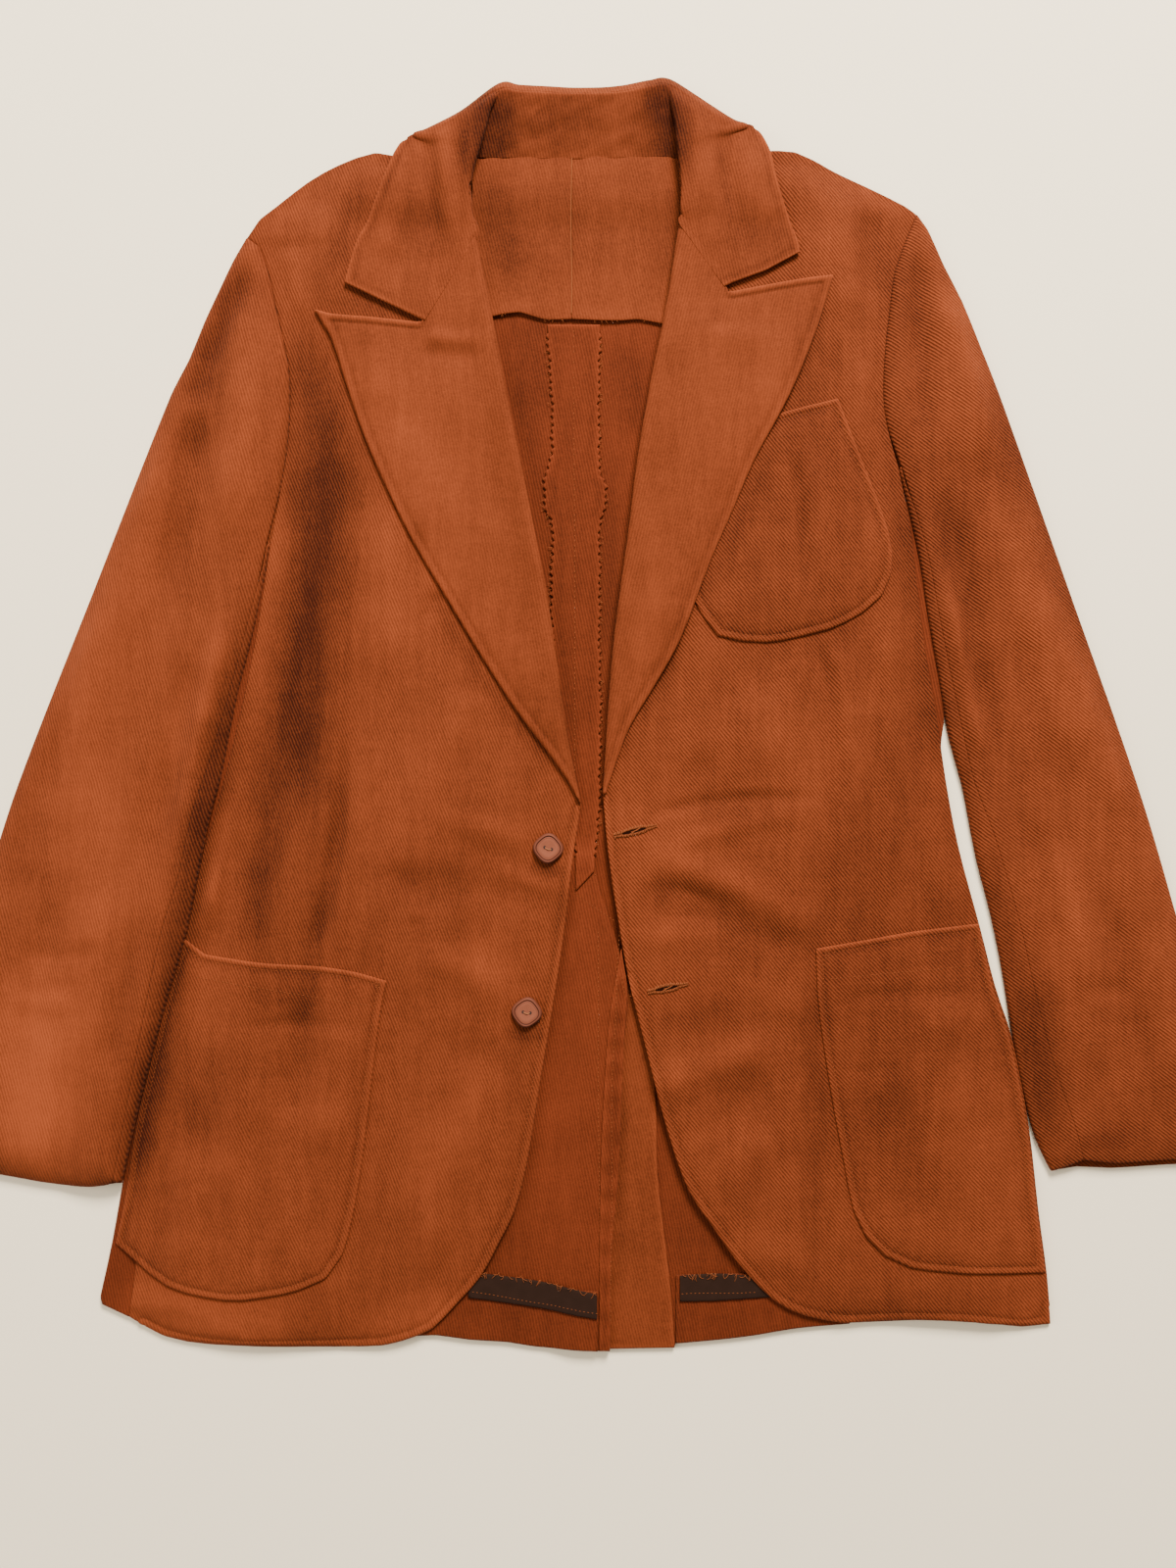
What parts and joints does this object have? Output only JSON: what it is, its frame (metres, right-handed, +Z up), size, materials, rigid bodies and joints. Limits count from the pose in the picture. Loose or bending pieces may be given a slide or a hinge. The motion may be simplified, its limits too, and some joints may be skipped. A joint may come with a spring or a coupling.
{
  "type": "twill jacket",
  "caption": "Unlined twill jacket laid flat on its back, open at the front, with peaked lapels, patch pockets, set-in sleeves and a vent.",
  "frame": {"origin": "on the surface under the jacket, at the middle of its outline", "axes": "+X to the wearer's left, +Y towards the collar, +Z up from the surface"},
  "size_m": [0.874, 0.8301, 0.0186],
  "materials": {
    "twill": "matt rust twill",
    "twill_inside": "matt rust twill, inner face",
    "hem_tape": "dark brown woven tape",
    "button": "moulded pinkish tan"
  },
  "bodies": {
    "root": {"back_right": "twill_inside", "back_left": "twill_inside", "neck_facing_right": "twill", "neck_facing_left": "twill", "centre_seam_strip": "twill_inside", "vent_hem_right": "twill_inside", "vent_facing_left": "twill", "hem_turnup_right": "twill_inside", "hem_turnup_left": "twill_inside", "hem_tape_right": "hem_tape", "hem_tape_left": "hem_tape", "front_right": "twill", "front_left": "twill", "chest_pocket": "twill", "hip_pocket_right": "twill", "hip_pocket_left": "twill", "lapel_right": "twill", "lapel_left": "twill", "collar": "twill", "sleeve_under_right": "twill", "sleeve_top_right": "twill", "sleeve_under_left": "twill", "sleeve_top_left": "twill", "button_upper": "button", "button_lower": "button"}
  },
  "joints": []
}
